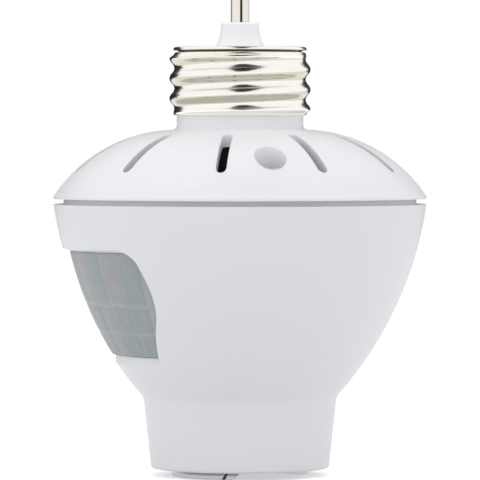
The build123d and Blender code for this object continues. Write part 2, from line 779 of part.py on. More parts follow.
def base_insulator():
    throat = BASE_NECK_R - SHEET - FIT_GAP
    seat = BASE_Z + SPIGOT_H
    under_top = BASE_TOP_Z - SHEET
    flare_z = BASE_TOP_Z + BOSS_FLARE_H
    bore = PIN_R + PIN_RUN_GAP + SLEEVE_T + FIT_GAP / 2
    mid_r = (BOSS_FOOT_R + BOSS_R) / 2 - 0.15
    outline = Curve() + [
        Polyline(
            (0, HUB_UNDER_Z),
            (HUB_R, HUB_UNDER_Z),
            (HUB_R, seat),
            (throat, seat),
            (throat, under_top),
            (BOSS_FOOT_R, under_top),
            (BOSS_FOOT_R, BASE_TOP_Z),
        ),
        ThreePointArc(
            (BOSS_FOOT_R, BASE_TOP_Z),
            (mid_r, (BASE_TOP_Z + flare_z) / 2),
            (BOSS_R, flare_z),
        ),
        Polyline((BOSS_R, flare_z), (BOSS_TIP_R, BOSS_TOP_Z), (0, BOSS_TOP_Z), (0, HUB_UNDER_Z)),
    ]
    section = make_face(Plane.XZ * outline)
    edge = section.vertices().sort_by_distance((BOSS_TIP_R, 0, BOSS_TOP_Z))[0]
    body = revolve(fillet(edge, BOSS_EDGE), Axis.Z)
    body -= rod(bore, HUB_UNDER_Z - 1, BOSS_TOP_Z - BOSS_WEB)
    return body - rod(PIN_R + FIT_GAP, HUB_UNDER_Z, BOSS_TOP_Z + 1)


def contact_sleeve():
    r_in = PIN_R + PIN_RUN_GAP
    r_out = r_in + SLEEVE_T
    top = BOSS_TOP_Z - BOSS_WEB - FIT_GAP
    low = HUB_UNDER_Z - SLEEVE_FLANGE_T
    return ring(r_in, r_out, low, top) + ring(r_in, SLEEVE_FLANGE_R, low, HUB_UNDER_Z)


def center_contact_pin():
    pin = rod(PIN_R, PIN_TIP_Z - PIN_L, PIN_TIP_Z)
    pin = chamfer(pin.edges().filter_by(GeomType.CIRCLE), PIN_CHAMFER)
    half = PIN_SLIT_W / 2
    slit = block((-half, half), (-PIN_R - 1, PIN_R + 1), (PIN_TIP_Z - PIN_SLIT_L, PIN_TIP_Z + 1))
    return pin - Rot(Z=PIN_SLIT_ANGLE) * slit


# Lamp socket

def socket_shell():
    """Rolled strip with an open seam, turned in at its top."""
    inner = (SHELL_IN_R, SHELL_H - SHELL_T)
    outer = (SHELL_IN_R + SHELL_T, SHELL_H)
    outline = Polyline(
        (inner[0], 0),
        (outer[0], 0),
        outer,
        (SHELL_RIM_IN_R, outer[1]),
        (SHELL_RIM_IN_R, inner[1]),
        inner,
        close=True,
    )
    section = make_face(Plane.XZ * outline)
    for corner, radius in ((inner, SHELL_BEND), (outer, SHELL_BEND + SHELL_T)):
        vertex = section.vertices().sort_by_distance((corner[0], 0, corner[1]))[0]
        section = fillet(vertex, radius)
    start = SHELL_SEAM_ANGLE + SHELL_SEAM / 2
    shell = Rot(Z=start) * revolve(section, Axis.Z, 360 - SHELL_SEAM)
    at = around(SHELL_RIVET_R_POS, SHELL_RIVET_ANGLE)
    return shell - rod(RIVET_R + PILOT_CLEAR, SHELL_H - 1, SHELL_H + 1, at)


def socket_cup():
    outline = Polyline(
        (WELL_R, CUP_STEP_Z),
        (CUP_CAVITY_R, CUP_STEP_Z),
        (CUP_CAVITY_R, RIM_Z),
        (CUP_R, RIM_Z),
        (CUP_R, CUP_TOP_Z),
        (0, CUP_TOP_Z),
        (0, WELL_TOP_Z),
        (WELL_R, WELL_TOP_Z),
        close=True,
    )
    cup = turned(outline)
    for angle in EAR_ANGLES:
        at = around(EAR_R_POS, angle)
        ear = rod(EAR_R, WELL_TOP_Z, CUP_TOP_Z, at)
        web = block((0, EAR_R_POS), (-EAR_R, EAR_R), (WELL_TOP_Z, CUP_TOP_Z))
        cup += ear + (Rot(Z=angle) * web)
        cup -= rod(CUP_SCREW_R + SCREW_CLEAR, WELL_TOP_Z - 1, CUP_TOP_Z + 1, at)
    cup -= rod(RIVET_R + PILOT_CLEAR, WELL_TOP_Z - 1, CUP_TOP_Z + 1)
    side = around(SHELL_RIVET_R_POS, SHELL_RIVET_ANGLE)
    return cup - rod(RIVET_R + PILOT_CLEAR, CUP_STEP_Z - 1, CUP_TOP_Z + 1, side)


def socket_contact():
    """Spring leaf over the lamp's centre contact, folded back under its fixed end."""
    top = WELL_TOP_Z
    low = top - LEAF_DROP
    half = LEAF_L / 2
    outline = Polyline(
        (-half, top),
        (half, top),
        (half, low + LEAF_T),
        (half / 3, low),
        (-half / 3, low),
        (-half / 3, low + LEAF_T),
        (half / 3, low + LEAF_T),
        (half - LEAF_T, low + 2 * LEAF_T),
        (half - LEAF_T, top - LEAF_T),
        (-half, top - LEAF_T),
        close=True,
    )
    strip = extrude(make_face(Plane.XZ * outline), LEAF_W / 2, both=True)
    return strip - rod(RIVET_R + PILOT_CLEAR, top - LEAF_T - 0.1, top + 1)


def rivet(low, high, at=(0.0, 0.0)):
    """Rivet through a stack, with a head on each end."""
    shank = rod(RIVET_R, low - RIVET_FOOT_T, high + RIVET_HEAD_T, at)
    foot = rod(RIVET_FOOT_R, low - RIVET_FOOT_T, low, at)
    return shank + foot + rod(RIVET_HEAD_R, high, high + RIVET_HEAD_T, at)


def socket_rivets():
    side = around(SHELL_RIVET_R_POS, SHELL_RIVET_ANGLE)
    middle = rivet(WELL_TOP_Z - LEAF_T, CUP_TOP_Z)
    return Compound([middle, rivet(SHELL_H - SHELL_T, CUP_TOP_Z, side)])


# Fasteners

def screw(head_z, head_r, head_t, shank_r, length, at):
    """Pan-head screw with a cross recess, its thread as a plain shank."""
    head = rod(head_r, head_z, head_z + head_t, at)
    head = fillet(head.edges().sort_by(Axis.Z)[-1], head_t / 3)
    arm = head_r * 0.6
    slot = head_r * 0.13
    cut = (head_z + head_t / 2, head_z + head_t + 1)
    cross = block((-arm, arm), (-slot, slot), cut) + block((-slot, slot), (-arm, arm), cut)
    shank = rod(shank_r, head_z - length, head_z, at)
    return head + shank - Pos(at[0], at[1], 0) * cross


def cover_screws():
    size = (SCREW_SEAT_Z, SCREW_HEAD_R, SCREW_HEAD_T, SCREW_SHANK_R, SCREW_LEN)
    return Compound([screw(*size, around(SCREW_R_POS, angle)) for angle in COVER_SCREW_ANGLES])


def socket_screws():
    length = CUP_SCREW_LEN + CUP_TOP_T - 1
    size = (CUP_TOP_Z, CUP_SCREW_HEAD_R, CUP_SCREW_HEAD_T, CUP_SCREW_R, length)
    return Compound([screw(*size, around(EAR_R_POS, angle)) for angle in EAR_ANGLES])


# Leads

def base_neutral_lead():
    """From the inside of the screw base, in through the spigot and down to the board."""
    wall = BASE_ROOT_R - SHEET
    points = [
        (0, wall, NEUTRAL_LEAD_Z),
        (0, NEUTRAL_LEAD_AT, NEUTRAL_LEAD_Z),
        (0, NEUTRAL_LEAD_AT, BOARD_TOP_Z),
    ]
    return wire_run(points, NEUTRAL_LEAD_R, NEUTRAL_BEND)


def base_line_lead():
    """From the contact sleeve's flange down to the board."""
    z_top = HUB_UNDER_Z - SLEEVE_FLANGE_T
    drop = z_top - BOARD_TOP_Z
    side = 2 * LEAD_R
    points = [
        (0, LINE_LEAD_AT, z_top),
        (0, LINE_LEAD_AT, z_top - drop / 3),
        (side, LINE_LEAD_AT + side, z_top - drop * 2 / 3),
        (side, LINE_LEAD_AT + side, BOARD_TOP_Z),
    ]
    return wire_run(points, LEAD_R, LEAD_BEND)


def socket_lead(at, step):
    """From a rivet of the lamp socket up to the underside of the main board."""
    z_low = CUP_TOP_Z + RIVET_HEAD_T
    x, y = at
    far = (x + step[0], y + step[1])
    points = [
        (x, y, z_low),
        (x, y, z_low + LEAD_STUB),
        (*far, BOARD_UNDER_Z - LEAD_TAIL),
        (*far, BOARD_UNDER_Z),
    ]
    return wire_run(points, LEAD_R, LEAD_BEND)


def switched_lead():
    """From the main board to the rivet of the lamp's centre contact."""
    return socket_lead((0, 0), LEAD_STEP)


def socket_neutral_lead():
    """From the main board to the rivet of the lamp's screw shell."""
    return socket_lead(around(SHELL_RIVET_R_POS, SHELL_RIVET_ANGLE), (LEAD_STEP[0], -LEAD_STEP[1]))


def make_nodes():
    """Every separate piece by its node's name."""
    nodes = {
        "lower_housing": lower_housing(),
        "top_cover": top_cover(),
        "lens": lens(),
        "sensor_shroud": sensor_shroud(),
        "sensor_board": sensor_board(),
        "pir_sensor": pir_can(),
        "pir_filter": pir_window(),
        "photocell": photocell(),
        "main_board": main_board(),
        "relay": on_board(RELAY, (0, RELAY_Y), RELAY_EDGE),
        "film_capacitor": on_board(FILM_CAP, (0, FILM_CAP_Y), RELAY_EDGE),
        "control_chip": under_board(CHIP, from_edge(*CHIP_AT)),
        "varistor": varistor(),
        "fuse": lying(FUSE_R, FUSE_L, from_edge(*FUSE_AT)),
        "rectifier_diodes": rectifier_diodes(),
        "dropper_resistor": lying(DROPPER_R, DROPPER_L, (DROPPER_X, DROPPER_Y)),
        "board_link": board_link(),
        "base_screw_shell": base_screw_shell(),
        "base_insulator": base_insulator(),
        "contact_sleeve": contact_sleeve(),
        "center_contact_pin": center_contact_pin(),
        "socket_shell": socket_shell(),
        "socket_cup": socket_cup(),
        "socket_contact": socket_contact(),
        "socket_rivets": socket_rivets(),
        "socket_screws": socket_screws(),
        "cover_screws": cover_screws(),
        "base_neutral_lead": base_neutral_lead(),
        "base_line_lead": base_line_lead(),
        "switched_lead": switched_lead(),
        "socket_neutral_lead": socket_neutral_lead(),
    }
    for name, size in CAPACITORS.items():
        nodes[name] = electrolytic(*size)
    return nodes


os.makedirs("parts", exist_ok=True)
for name, solid in make_nodes().items():
    export_step(solid, f"parts/{name}.step")
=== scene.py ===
import json
import math

import bpy
import numpy as np
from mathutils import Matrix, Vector

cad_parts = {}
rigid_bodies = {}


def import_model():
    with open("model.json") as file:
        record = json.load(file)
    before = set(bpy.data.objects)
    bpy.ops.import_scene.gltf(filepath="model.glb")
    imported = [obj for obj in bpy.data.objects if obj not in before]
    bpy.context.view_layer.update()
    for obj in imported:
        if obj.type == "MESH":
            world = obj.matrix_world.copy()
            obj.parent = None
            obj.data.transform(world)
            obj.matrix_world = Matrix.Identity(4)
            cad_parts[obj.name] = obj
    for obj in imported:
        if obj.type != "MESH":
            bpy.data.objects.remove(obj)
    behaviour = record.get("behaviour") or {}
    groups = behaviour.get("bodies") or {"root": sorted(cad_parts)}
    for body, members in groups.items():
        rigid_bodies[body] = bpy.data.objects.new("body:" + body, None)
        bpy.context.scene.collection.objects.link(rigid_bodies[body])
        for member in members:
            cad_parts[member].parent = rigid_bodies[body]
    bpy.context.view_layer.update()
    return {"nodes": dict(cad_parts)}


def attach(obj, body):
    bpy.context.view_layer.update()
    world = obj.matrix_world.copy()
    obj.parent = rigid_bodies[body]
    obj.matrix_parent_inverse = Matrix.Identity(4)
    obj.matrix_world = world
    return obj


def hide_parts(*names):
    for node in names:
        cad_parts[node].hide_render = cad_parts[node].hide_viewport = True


# Motion-sensing lamp socket adapter: looks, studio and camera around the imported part.
# Sizes are in millimetres and turn into metres where a mesh, lamp or camera is made.

MM = 0.001

# Camera of the photograph
CAMERA_DISTANCE = 830.0
CAMERA_HEIGHT = 62.8
CAMERA_PITCH = 1.32             # degrees below level
CAMERA_LENS = 335.25
SENSOR_W = 36.0
CAMERA_REACH = 50.0             # metres

# Studio
AMBIENT = 0.585                 # light from all round on matt surfaces
FLOOR_SIZE = 12.0               # metres
FLOOR_GREY = 0.85
FLOOR_GLOW = 0.52               # lifts the floor to white where no shadow falls
LAMP_AIM = (0, 0, 40)
LAMPS = {                       # place, side and power
    "top": ((0, -150, 700), 700, 1.85),
    "left": ((-690, -370, 150), 600, 1.62),
    "right": ((720, -330, 120), 600, 1.52),
}
FLAG_BACK = (-450.0, 225.0, 290.0, 18.0, 235.0)     # ends along X, distance, lower and upper edge
FLAG_TOP = (-110.0, 175.0, -900.0, -10.0, 540.0)    # sides along X, ends along Y, height
FLAG_COLOUR = (0.012, 0.011, 0.01)

# Outline of the bell, from the lamp socket's edge up
BELL_ARC_R = 68.3
BELL_ARC_IN = -33.06            # centre of the arc beyond the axis
BELL_ARC_Z = 59.96

# Screw base, E26
BASE_Z = 66.9
BASE_TOP_Z = 79.45
BASE_SEAT_Z = 79.3              # underside of the shell's top, on the insulator
BASE_MAJOR_R = 13.1
BASE_ROOT_R = 12.2
BASE_NECK_R = 11.4
BASE_THROAT_R = 11.2
BASE_THROAT_FOOT = 0.5          # height of the step from the throat out to the shell's inside
BASE_RIM_R = 12.4
BASE_HOLE_R = 4.6
BASE_EDGE_R = 12.3              # radius of the cut edge at the foot
BASE_SHEET = 0.4
BASE_COLUMNS = 216
BASE_ROWS = 190
BASE_SHARP = 50                 # degrees from which an edge shows sharp
NECK_H = 1.15                   # from the thread's upper end to the shell's top
NECK_FOOT = ((0.65, 0.12), (0.12, 0.34), (0.0, 0.42))   # out from the neck, above the thread's end
NECK_HEAD = ((0.0, 0.66), (0.06, 0.6))                  # out from the neck, below the shell's top
RIM_ROLL = (                    # in from the rim, below the shell's top
    (0.08, 0.58),
    (0.0, 0.53),
    (0.02, 0.42),
    (0.07, 0.25),
    (0.14, 0.1),
    (0.28, 0.02),
    (0.5, 0.0),
    (1.2, 0.0),
)
HOLE_EDGE = ((0.35, 0.0), (0.1, 0.0), (0.0, 0.05))      # out from the hole, below the shell's top
FLAT_STEP = 0.2                 # circles this far from an edge keep a flat face's shading flat

# Thread of the screw base
THREAD_PITCH = 3.75             # as the photo shows it
THREAD_CREST_Z = 71.69          # crest at +X, without the tilt
THREAD_TILT = 0.11              # the thread sits this much lower at +X and higher at -X
FOOT_RUN = 1.1                  # height over which the thread fades in at the foot
TOP_RUN = 0.95                  # and out again under the neck
FLANK_SHADE_EDGE = 0.06                # soft edge of the painted shade that darkens the lower flanks' reflection, as a share of the pitch
FLANK_SHADE_TOP = 0.45                 # stretch below the neck without that painted shade

# Lamp socket's screw shell
SOCKET_R = 12.35
SOCKET_SHEET = 0.3
SOCKET_DEPTH = 1.05             # of its thread
SOCKET_TOP_Z = 21.4
SOCKET_RIM_R = 8.6
SOCKET_IN_RUN = 1.2             # height over which its thread fades in above the lip
SOCKET_OUT_RUN = 1.5            # and out again under the shell's top
SOCKET_COLUMNS = 150
SOCKET_ROWS = 120
SEAM_ANGLE = 289.5              # middle of the open seam
SEAM = 40.0                     # its width in degrees
LIP_PLAIN = 1.9                 # plain stretch of the lip below the first thread
LIP_RISE = 1.05                 # how far the lip is cut back beside the seam
LIP_RISE_ANGLE = 75.0           # the cut runs out this far from the seam
LIP_RISE_CURVE = 1.5
SEAM_CUT_H = 1.1                # corner cut off the lip at the seam's other side
SEAM_CUT_ANGLE = 6.0
FOLD_ANGLE = 13.5               # painted shade of a fold that runs slantwise over the lip before that corner
FOLD_LEAN = 2.6                 # degrees for each millimetre of height
FOLD_W = 1.9                    # degrees
FOLD_FINE = 20.0                # finer mesh over this angle
FOLD_COLUMNS = 60
NECK_SHADOW = 0.72                     # strength of the painted shadow under the neck, beside the fold
NECK_SHADOW_LOW = 0.35                 # it starts at this height
NECK_SHADOW_H = 0.7                    # and is full this much higher
NECK_SHADOW_ANGLE = 80.0               # it ends this far from the seam
NECK_SHADOW_FADE = 35.0                # and fades over this
DARK_TOP_Z = 2.9                # the fold's painted shade and the painted shadow under the neck end here

# Sensor window
WINDOW_LOW = (18.05, 21.1)      # half the width at a height: the side is straight up to the
WINDOW_MID = (23.3, 28.9)       # middle point, then an arc that turns upright at the upper one
WINDOW_SIDE = (26.35, 38.9)
WINDOW_TOP_Z = 42.25
WINDOW_ROUND = 2.4              # radius of the upper corners

# Lens in the window
LENS_LOW_Z = 22.65
LENS_HIGH_Z = 41.72
LENS_BACK_LOW = 0.45            # how far the lens stands back from the bell
LENS_BACK_TOP = 1.22
LENS_SIDE_GAP = 0.2
LENS_T = 0.7
LENS_DEPTH = 2.3                # from the bell to the flange behind its wall
FLANGE_W = 2.0
FLANGE_T = 0.75
LENS_GRID = (130, 330)
LENS_FRAME = 2                  # points along the edge that have no relief
LENS_COLUMN = math.radians(9.8)     # one column of facets faces straight out
LENS_COLUMNS = 11
LENS_ROWS = (26.85, 32.1)       # heights between the three rows of facets
LENS_CENTRE_Z = (24.4, 29.9, 35.1)
LENS_BULGE = 0.10
GROOVE_W = 0.32
GROOVE_DEPTH = 0.11
EDGE_W = 0.7                    # pale edge beside a column's groove
ROW_EDGE = 1.3                  # the edges along the rows are this much narrower
BORDER_PALE = 0.9               # outside the facets
FACET_LIGHT_DROP = 0.25                # the facets below the top row take this much less of the painted facet light
FACET_LIGHT_BORDER = 0.3               # the painted facet light outside the facets
RING_PITCH = 0.78
RING_DEPTH = 0.07
RING_PEAK = 0.75                # where a ring is deepest, as a share of the pitch
RING_FREE = 1.15                # radius of the smooth middle of each facet
RING_SHIFT = 0.2                # the rings' centres move out by this from column to column
RING_WEAK = 0.5                 # strength of the rings in the middle columns
WEAK_COLUMNS = 3
LINE_FROM = 0.6                 # painted shade line in each ring, as shares of the pitch
LINE_RUN = 0.3

GRAIN = 2200                    # scale of the fine grain of every surface
ROUGH_DRIFT = 0.05
COLOURS = {
    "housing_white": (0.795, 0.80, 0.83),
    "cover_white": (0.845, 0.85, 0.875),
    "insulator_white": (0.955, 0.962, 0.995),
    "socket_white": (0.80, 0.79, 0.77),
    "lens_milky": (0.39, 0.432, 0.44),
}


def new_object(name, data):
    """Object that shows this data in the scene."""
    obj = bpy.data.objects.new(name, data)
    bpy.context.scene.collection.objects.link(obj)
    return obj


def new_material(name):
    """Material with Blender's own first nodes."""
    mat = bpy.data.materials.new(name)
    mat.use_nodes = True
    return mat


def wear(obj, mat):
    """The object takes this material alone."""
    obj.data.materials.clear()
    obj.data.materials.append(mat)


# Materials

def node(tree, kind, **values):
    """New shader node with the values of its inputs and properties set by name."""
    made = tree.nodes.new(kind)
    for key, value in values.items():
        if key in made.inputs:
            made.inputs[key].default_value = value
        else:
            setattr(made, key, value)
    return made


def shades(colour, change):
    """The colour a little darker and a little lighter."""
    low = [max(c * (1 - change), 0) for c in colour]
    high = [min(c * (1 + change), 1) for c in colour]
    return (*low, 1), (*high, 1)


def surface(name, colour, rough=0.45, metallic=0.0, change=0.02, blotch=70, depth=0.01, **more):
    """Material whose shade and roughness drift over the surface, with a fine grain in relief."""
    mat = new_material(name)
    tree = mat.node_tree
    shader = tree.nodes["Principled BSDF"]
    place = node(tree, "ShaderNodeTexCoord").outputs["Object"]
    drift = node(tree, "ShaderNodeTexNoise", Scale=blotch, Detail=4.0)
    tree.links.new(place, drift.inputs["Vector"])
    low, high = shades(colour, change)
    mix = node(tree, "ShaderNodeMix", data_type="RGBA")
    mix.inputs["A"].default_value = low
    mix.inputs["B"].default_value = high
    tree.links.new(drift.outputs["Fac"], mix.inputs["Factor"])
    tree.links.new(mix.outputs["Result"], shader.inputs["Base Color"])
    spread = node(tree, "ShaderNodeMapRange")
    spread.inputs["To Min"].default_value = max(rough - ROUGH_DRIFT, 0.02)
    spread.inputs["To Max"].default_value = min(rough + ROUGH_DRIFT, 1)
    tree.links.new(drift.outputs["Fac"], spread.inputs["Value"])
    tree.links.new(spread.outputs["Result"], shader.inputs["Roughness"])
    fine = node(tree, "ShaderNodeTexNoise", Scale=GRAIN, Detail=2.0)
    tree.links.new(place, fine.inputs["Vector"])
    bump = node(tree, "ShaderNodeBump", Strength=1.0, Distance=depth * MM)
    tree.links.new(fine.outputs["Fac"], bump.inputs["Height"])
    tree.links.new(bump.outputs["Normal"], shader.inputs["Normal"])
    shader.inputs["Metallic"].default_value = metallic
    for key, value in more.items():
        shader.inputs[key.replace("_", " ")].default_value = value
    return mat


def board_material():
    """Green solder mask with paler copper tracks under it."""
    mat = surface("circuit_board", (0.02, 0.16, 0.06), rough=0.35, depth=0.004)
    tree = mat.node_tree
    shader = tree.nodes["Principled BSDF"]
    base = shader.inputs["Base Color"].links[0].from_socket
    place = node(tree, "ShaderNodeTexCoord").outputs["Object"]
    tracks = node(tree, "ShaderNodeTexBrick", Scale=320.0)
    tracks.inputs["Mortar Size"].default_value = 0.03
    tree.links.new(place, tracks.inputs["Vector"])
    mix = node(tree, "ShaderNodeMix", data_type="RGBA")
    mix.inputs["B"].default_value = (0.05, 0.30, 0.10, 1)
    tree.links.new(tracks.outputs["Fac"], mix.inputs["Factor"])
    tree.links.new(base, mix.inputs["A"])
    tree.links.new(mix.outputs["Result"], shader.inputs["Base Color"])
    return mat


def tinted(mat, tints):
    """The material with its colour multiplied by a tint for each named value of the mesh."""
    tree = mat.node_tree
    shader = tree.nodes["Principled BSDF"]
    layer = shader.inputs["Base Color"].links[0].from_socket
    for name, full in tints.items():
        value = node(tree, "ShaderNodeAttribute", attribute_name=name)
        tint = node(tree, "ShaderNodeMix", data_type="RGBA")
        tint.inputs["A"].default_value = (1, 1, 1, 1)
        tint.inputs["B"].default_value = (*full, 1)
        tree.links.new(value.outputs["Fac"], tint.inputs["Factor"])
        mix = node(tree, "ShaderNodeMix", data_type="RGBA", blend_type="MULTIPLY")
        mix.inputs["Factor"].default_value = 1.0
        tree.links.new(layer, mix.inputs["A"])
        tree.links.new(tint.outputs["Result"], mix.inputs["B"])
        layer = mix.outputs["Result"]
    tree.links.new(layer, shader.inputs["Base Color"])
    return mat


def lens_material():
    """Milky plastic. Alternate facets are painted lighter, as their tilt would light them; the rings have
    faint lines of painted shade, and there are pale edges.
    """
    milky = {
        "rough": 0.42,
        "change": 0.06,
        "blotch": 160,
        "depth": 0.004,
        "Transmission_Weight": 0.1,
        "IOR": 1.5,
        "Specular_IOR_Level": 0.1,
    }
    return tinted(surface("lens_plastic", COLOURS["lens_milky"], **milky), {
        # painted light on alternate facets
        "painted_facet_light": (1.12, 1.03, 1.04),
        # painted shade lines in the rings
        "painted_ring_shade": (0.88, 0.90, 0.91),
        "facet_edge": (1.10, 1.10, 1.11),
    })


def nickel_material():
    """Bright nickel, with painted shade on the thread's lower flanks that darkens their reflection, and
    painted shade in the crevice under the rim.
    """
    bright = {"rough": 0.19, "metallic": 1.0, "change": 0.03, "depth": 0.002}
    return tinted(surface("drawn_nickel", (0.94, 0.925, 0.865), **bright), {
        # painted shade on the thread's lower flanks, darkening their reflection
        "painted_flank_shade": (0.60, 0.58, 0.52),
        # painted shade in the crevice under the rim
        "painted_shade": (0.2, 0.19, 0.17),
    })


def lamp_shell_material():
    """Greyer rolled metal, with painted shade where the lip folds and a painted shadow under the neck."""
    rolled = {"rough": 0.34, "metallic": 1.0, "depth": 0.004}
    # painted shade in the lip's fold and painted shadow under the neck
    return tinted(surface("rolled_shell", (0.60, 0.60, 0.65), **rolled), {"painted_shade": (0.04, 0.04, 0.05)})


def make_materials():
    """Each material slot of the record by its name, and the lamp shell's metal."""
    white = {"rough": 0.42, "change": 0.012, "depth": 0.006}
    cover = white | {
        "Subsurface_Weight": 0.25,
        "Subsurface_Scale": 2 * MM,
        "Subsurface_Radius": (1, 0.9, 0.8),
    }
    metal = {"metallic": 1.0, "depth": 0.004}
    return {
        "housing_white": surface("housing_plastic", COLOURS["housing_white"], **white),
        "cover_white": surface("cover_plastic", COLOURS["cover_white"], **cover),
        "insulator_white": surface("insulator_plastic", COLOURS["insulator_white"], **white),
        "socket_white": surface("socket_plastic", COLOURS["socket_white"], rough=0.55, depth=0.01),
        "lens_milky": lens_material(),
        "shroud_black": surface("shroud_plastic", (0.02, 0.02, 0.022), rough=0.5),
        "nickel": nickel_material(),
        "lamp_shell": lamp_shell_material(),
        "contact_nickel": surface("turned_nickel", (0.80, 0.77, 0.71), rough=0.34, **metal),
        "brass": surface("rolled_brass", (0.78, 0.58, 0.26), rough=0.25, **metal),
        "steel": surface("zinc_steel", (0.62, 0.62, 0.62), rough=0.3, metallic=1.0, depth=0.005),
        "board_green": board_material(),
        "can_metal": surface("can_metal", (0.75, 0.73, 0.69), rough=0.25, metallic=1.0),
        "filter_dark": surface("infrared_filter", (0.02, 0.015, 0.02), rough=0.12, depth=0.001),
        "cell_clear": surface("cell_resin", (0.55, 0.50, 0.42), rough=0.15, depth=0.001),
        "relay_black": surface("relay_case", (0.018, 0.018, 0.02), rough=0.4),
        "film_yellow": surface("film_case", (0.75, 0.55, 0.08), rough=0.4),
        "chip_black": surface("chip_epoxy", (0.02, 0.02, 0.02), rough=0.6, depth=0.02),
        "varistor_blue": surface("varistor_lacquer", (0.04, 0.12, 0.42), rough=0.3, depth=0.02),
        "fuse_glass": surface("fuse_glass", (0.7, 0.72, 0.7), rough=0.08, depth=0.001),
        "diode_black": surface("diode_epoxy", (0.02, 0.02, 0.02), rough=0.5),
        "resistor_tan": surface("resistor_lacquer", (0.55, 0.40, 0.24), rough=0.45),
        "sleeve_black": surface("shrink_sleeve", (0.02, 0.02, 0.03), rough=0.3),
        "lead_black": surface("lead_black", (0.02, 0.02, 0.02), rough=0.4),
        "lead_white": surface("lead_white", (0.75, 0.75, 0.73), rough=0.4),
        "lead_red": surface("lead_red", (0.5, 0.03, 0.02), rough=0.4),
    }


# Meshes

def mesh_object(name, points, faces):
    """Smooth mesh from points in millimetres and the corners of its faces."""
    mesh = bpy.data.meshes.new(name)
    mesh.from_pydata((points * MM).tolist(), [], faces)
    mesh.shade_smooth()
    return new_object(name, mesh)


def grid_quads(index):
    """Corners of the faces between the vertices of a grid."""
    quads = np.stack([index[:-1, :-1], index[1:, :-1], index[1:, 1:], index[:-1, 1:]], axis=-1)
    return quads.reshape(-1, 4)


def grid_mesh(name, points, closed_rows=False, closed_columns=False):
    """Smooth mesh over a grid of points in millimetres, rows by columns."""
    rows, columns = points.shape[:2]
    index = np.arange(rows * columns).reshape(rows, columns)
    if closed_rows:
        index = np.vstack([index, index[:1]])
    if closed_columns:
        index = np.hstack([index, index[:, :1]])
    return mesh_object(name, points.reshape(-1, 3), grid_quads(index).tolist())


def grid_edge(rows, columns):
    """Rows and columns of the points along a grid's edge, once round."""
    edge = [(0, c) for c in range(columns)]
    edge += [(r, columns - 1) for r in range(1, rows)]
    edge += [(rows - 1, c) for c in range(columns - 2, -1, -1)]
    edge += [(r, 0) for r in range(rows - 2, 0, -1)]
    return tuple(np.array(edge).T)


def mark(mesh, name, values):
    """Named value at each vertex, nought where the values run out."""
    whole = np.zeros(len(mesh.vertices), np.float32)
    whole[:values.size] = values.ravel()
    mesh.attributes.new(name, "FLOAT", "POINT").data.foreach_set("value", whole)


def turned_points(radius, height, angle):
    """Points on circles about the axis. The three arrays have one shape."""
    return np.stack([radius * np.cos(angle), radius * np.sin(angle), height], axis=-1)


def smooth_step(value):
    """Eased from nought to one."""
    t = np.clip(value, 0, 1)
    return t * t * (3 - 2 * t)


def thread_turn(angle, z, crest_z):
    """Turns above the crest that is at crest_z at angle nought. Whole numbers are crests."""
    return (z - crest_z) / THREAD_PITCH - angle / math.tau


def thread_height(turn):
    """Height of a rounded thread as a share of its depth: two equal arcs a flank."""
    off = np.abs(turn - np.round(turn)) * 2
    return np.where(off < 0.5, 1 - 2 * off**2, 2 * (1 - off) ** 2)


# Screw base

def base_profile(shoulder):
    """Points, by radius and height, from the thread's upper end over the rim and down inside."""
    inner = BASE_ROOT_R - BASE_SHEET
    profile = [(BASE_NECK_R + out, shoulder + up) for out, up in NECK_FOOT]
    profile += [(BASE_NECK_R + out, BASE_TOP_Z - down) for out, down in NECK_HEAD]
    profile += [(BASE_RIM_R - back, BASE_TOP_Z - down) for back, down in RIM_ROLL]
    profile += [(BASE_HOLE_R + out, BASE_TOP_Z - down) for out, down in HOLE_EDGE]
    profile += [
        (BASE_HOLE_R, BASE_SEAT_Z),
        (BASE_HOLE_R + FLAT_STEP, BASE_SEAT_Z),
        (BASE_THROAT_R - FLAT_STEP, BASE_SEAT_Z),
        (BASE_THROAT_R, BASE_SEAT_Z),
        (BASE_THROAT_R, shoulder),
        (inner, shoulder - BASE_THROAT_FOOT),
        (inner, BASE_Z),
    ]
    return profile


def base_shell():
    """Drawn screw base with the thread running out at its foot and under its rim."""
    angle = np.linspace(0, math.tau, BASE_COLUMNS, endpoint=False)[:, None]
    shoulder = BASE_TOP_Z - NECK_H
    z = np.linspace(BASE_Z, shoulder, BASE_ROWS)[None, :]
    turn = thread_turn(angle, z, THREAD_CREST_Z - THREAD_TILT * np.cos(angle))
    share = thread_height(turn) * smooth_step((shoulder - z) / TOP_RUN)
    foot = smooth_step((z - BASE_Z) / FOOT_RUN)
    radius = BASE_ROOT_R + (BASE_MAJOR_R - BASE_ROOT_R) * share
    radius = BASE_EDGE_R + (radius - BASE_EDGE_R) * foot
    profile = base_profile(shoulder)
    around = np.ones_like(angle)
    radii = np.hstack([radius] + [around * r for r, _ in profile])
    heights = np.hstack([around * z] + [around * h for _, h in profile])
    points = turned_points(radii, heights, around * angle + 0 * radii)
    shell = grid_mesh("screw_base", points, closed_rows=True, closed_columns=True)
    shell.data.set_sharp_from_angle(angle=math.radians(BASE_SHARP))
    # Painted shade: the thread's lower flanks are darkened, which darkens their reflection of the dome.
    below = np.floor(turn) - turn + 1
    flank = smooth_step(below / FLANK_SHADE_EDGE) * smooth_step((0.5 - below) / FLANK_SHADE_EDGE)
    painted_flank_shade = np.zeros(radii.shape)
    painted_flank_shade[:, :z.size] = flank * foot * smooth_step((shoulder - FLANK_SHADE_TOP - z) / TOP_RUN)
    mark(shell.data, "painted_flank_shade", painted_flank_shade)
    # Painted shade in the crevice under the rim.
    painted_shade = np.zeros(radii.shape)
    crevice_end = z.size + len(NECK_FOOT) + len(NECK_HEAD)
    painted_shade[:, z.size + 1:crevice_end] = 1
    mark(shell.data, "painted_shade", painted_shade)
    return shell


# Lamp socket's screw shell

